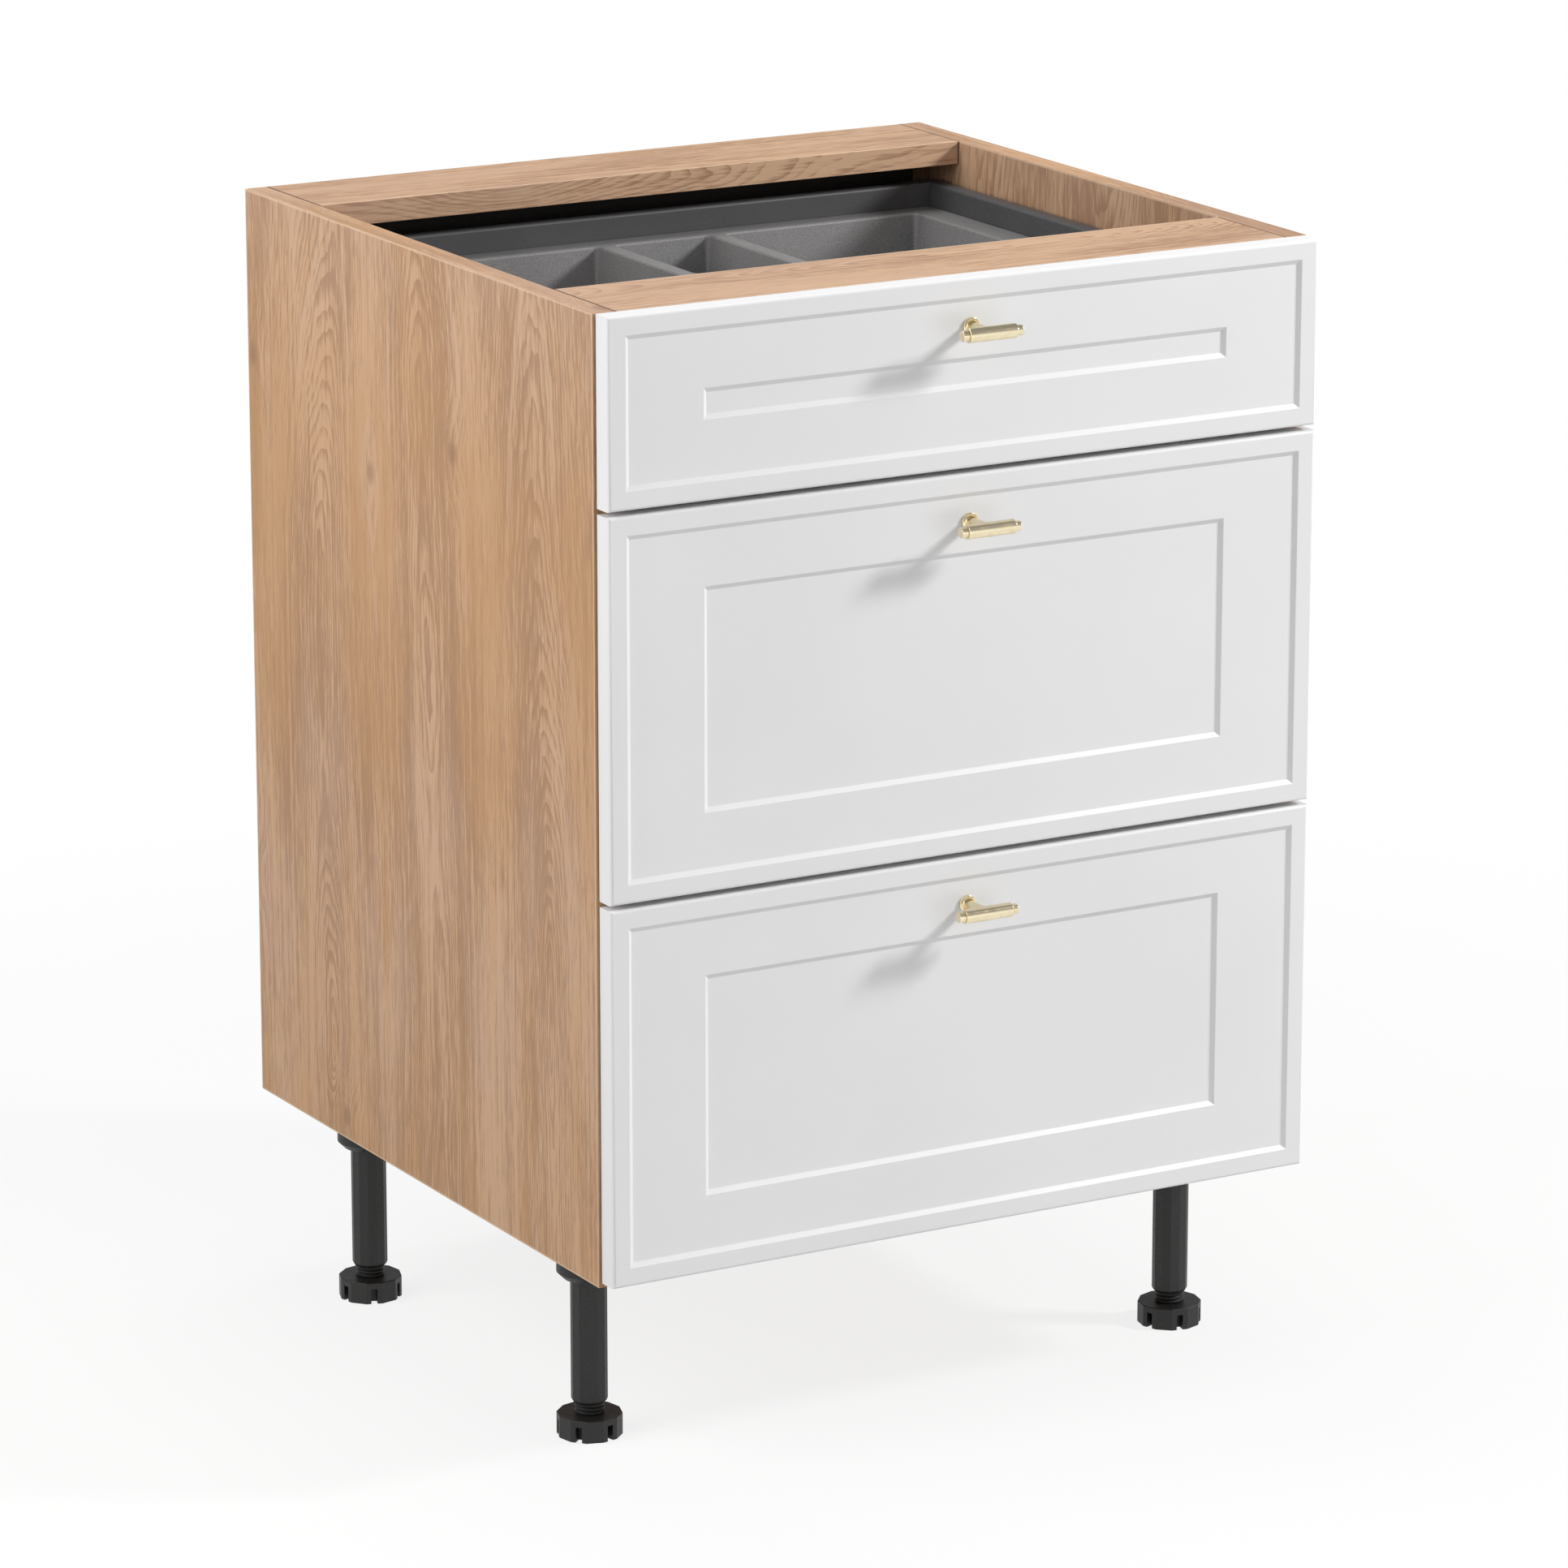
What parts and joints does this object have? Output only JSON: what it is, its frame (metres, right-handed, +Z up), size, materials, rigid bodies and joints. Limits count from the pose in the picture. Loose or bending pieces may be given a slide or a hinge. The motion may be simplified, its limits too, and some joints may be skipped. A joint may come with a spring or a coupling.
{
  "type": "drawer base cabinet",
  "caption": "Kitchen base cabinet with an oak-effect carcass, white framed drawer fronts, brass bar knobs, steel drawer boxes and black levelling legs.",
  "frame": {"origin": "on the floor under the middle of the cabinet's outer box, knobs included", "axes": "+X to the right of someone who faces the fronts, +Y towards the wall, +Z up"},
  "size_m": [0.6, 0.611, 0.87],
  "materials": {
    "oak_board": "oak-effect melamine, satin",
    "dark_hardboard": "dark painted hardboard, matt",
    "beech_dowel": "turned beech",
    "zinc_casting": "zinc die casting",
    "zinc_steel": "zinc plated",
    "black_plastic": "fine-grained black plastic",
    "white_lacquer": "white satin lacquer on fibreboard",
    "polished_brass": "polished pale brass",
    "grey_steel": "dark grey powder coat",
    "grey_plastic": "dark grey moulded plastic",
    "rail_steel": "zinc plated rolled steel",
    "tray_plastic": "dark grey grained plastic",
    "grey_board": "dark grey melamine"
  },
  "bodies": {
    "carcass": {"back_panel": "dark_hardboard", "bottom_cabinet_rails": "rail_steel", "bottom_panel": "oak_board", "cam_bolts": "zinc_steel", "cam_locks": "zinc_casting", "carcass_dowels": "beech_dowel", "front_top_rail": "oak_board", "leg_screws": "zinc_steel", "leg_sockets": "black_plastic", "leg_tube_front_left": "black_plastic", "leg_tube_front_right": "black_plastic", "leg_tube_rear_left": "black_plastic", "leg_tube_rear_right": "black_plastic", "middle_cabinet_rails": "rail_steel", "rear_top_rail": "oak_board", "runner_screws": "zinc_steel", "side_panel_left": "oak_board", "side_panel_right": "oak_board", "top_cabinet_rails": "rail_steel"},
    "bottom_drawer": {"bottom_back": "grey_steel", "bottom_bottom": "grey_board", "bottom_drawer_rails": "rail_steel", "bottom_front": "white_lacquer", "bottom_front_brackets": "grey_plastic", "bottom_knob_bar": "polished_brass", "bottom_knob_post": "polished_brass", "bottom_knob_screw": "zinc_steel", "bottom_rear_brackets": "grey_plastic", "bottom_side_left": "grey_steel", "bottom_side_right": "grey_steel"},
    "bottom_middle_rails": {"bottom_mid_rails": "rail_steel"},
    "top_drawer": {"cutlery_tray": "tray_plastic", "top_back": "grey_steel", "top_bottom": "grey_board", "top_drawer_rails": "rail_steel", "top_front": "white_lacquer", "top_front_brackets": "grey_plastic", "top_knob_bar": "polished_brass", "top_knob_post": "polished_brass", "top_knob_screw": "zinc_steel", "top_rear_brackets": "grey_plastic", "top_side_left": "grey_steel", "top_side_right": "grey_steel"},
    "foot_front_left": {"foot_front_left": "black_plastic"},
    "foot_front_right": {"foot_front_right": "black_plastic"},
    "foot_rear_left": {"foot_rear_left": "black_plastic"},
    "foot_rear_right": {"foot_rear_right": "black_plastic"},
    "middle_drawer": {"middle_back": "grey_steel", "middle_bottom": "grey_board", "middle_drawer_rails": "rail_steel", "middle_front": "white_lacquer", "middle_front_brackets": "grey_plastic", "middle_knob_bar": "polished_brass", "middle_knob_post": "polished_brass", "middle_knob_screw": "zinc_steel", "middle_rear_brackets": "grey_plastic", "middle_side_left": "grey_steel", "middle_side_right": "grey_steel"},
    "middle_middle_rails": {"middle_mid_rails": "rail_steel"},
    "top_middle_rails": {"top_mid_rails": "rail_steel"}
  },
  "joints": [
    {"name": "top_drawer_slide", "type": "slide", "parent": "carcass", "child": "top_drawer", "axis": [0, -1, 0], "range_m": [0, 0.48]},
    {"name": "middle_drawer_slide", "type": "slide", "parent": "carcass", "child": "middle_drawer", "axis": [0, -1, 0], "range_m": [0, 0.48]},
    {"name": "bottom_drawer_slide", "type": "slide", "parent": "carcass", "child": "bottom_drawer", "axis": [0, -1, 0], "range_m": [0, 0.48]},
    {"name": "top_rail_slide", "type": "slide", "parent": "carcass", "child": "top_middle_rails", "axis": [0, -1, 0], "range_m": [0, 0.24]},
    {"name": "middle_rail_slide", "type": "slide", "parent": "carcass", "child": "middle_middle_rails", "axis": [0, -1, 0], "range_m": [0, 0.24]},
    {"name": "bottom_rail_slide", "type": "slide", "parent": "carcass", "child": "bottom_middle_rails", "axis": [0, -1, 0], "range_m": [0, 0.24]},
    {"name": "foot_front_left_screw", "type": "slide", "parent": "carcass", "child": "foot_front_left", "axis": [0, 0, -1], "range_m": [-0.008, 0.02]},
    {"name": "foot_front_right_screw", "type": "slide", "parent": "carcass", "child": "foot_front_right", "axis": [0, 0, -1], "range_m": [-0.008, 0.02]},
    {"name": "foot_rear_left_screw", "type": "slide", "parent": "carcass", "child": "foot_rear_left", "axis": [0, 0, -1], "range_m": [-0.008, 0.02]},
    {"name": "foot_rear_right_screw", "type": "slide", "parent": "carcass", "child": "foot_rear_right", "axis": [0, 0, -1], "range_m": [-0.008, 0.02]}
  ],
  "couplings": [
    {"joint": "top_rail_slide", "follows": "top_drawer_slide", "ratio": 0.5},
    {"joint": "middle_rail_slide", "follows": "middle_drawer_slide", "ratio": 0.5},
    {"joint": "bottom_rail_slide", "follows": "bottom_drawer_slide", "ratio": 0.5}
  ]
}
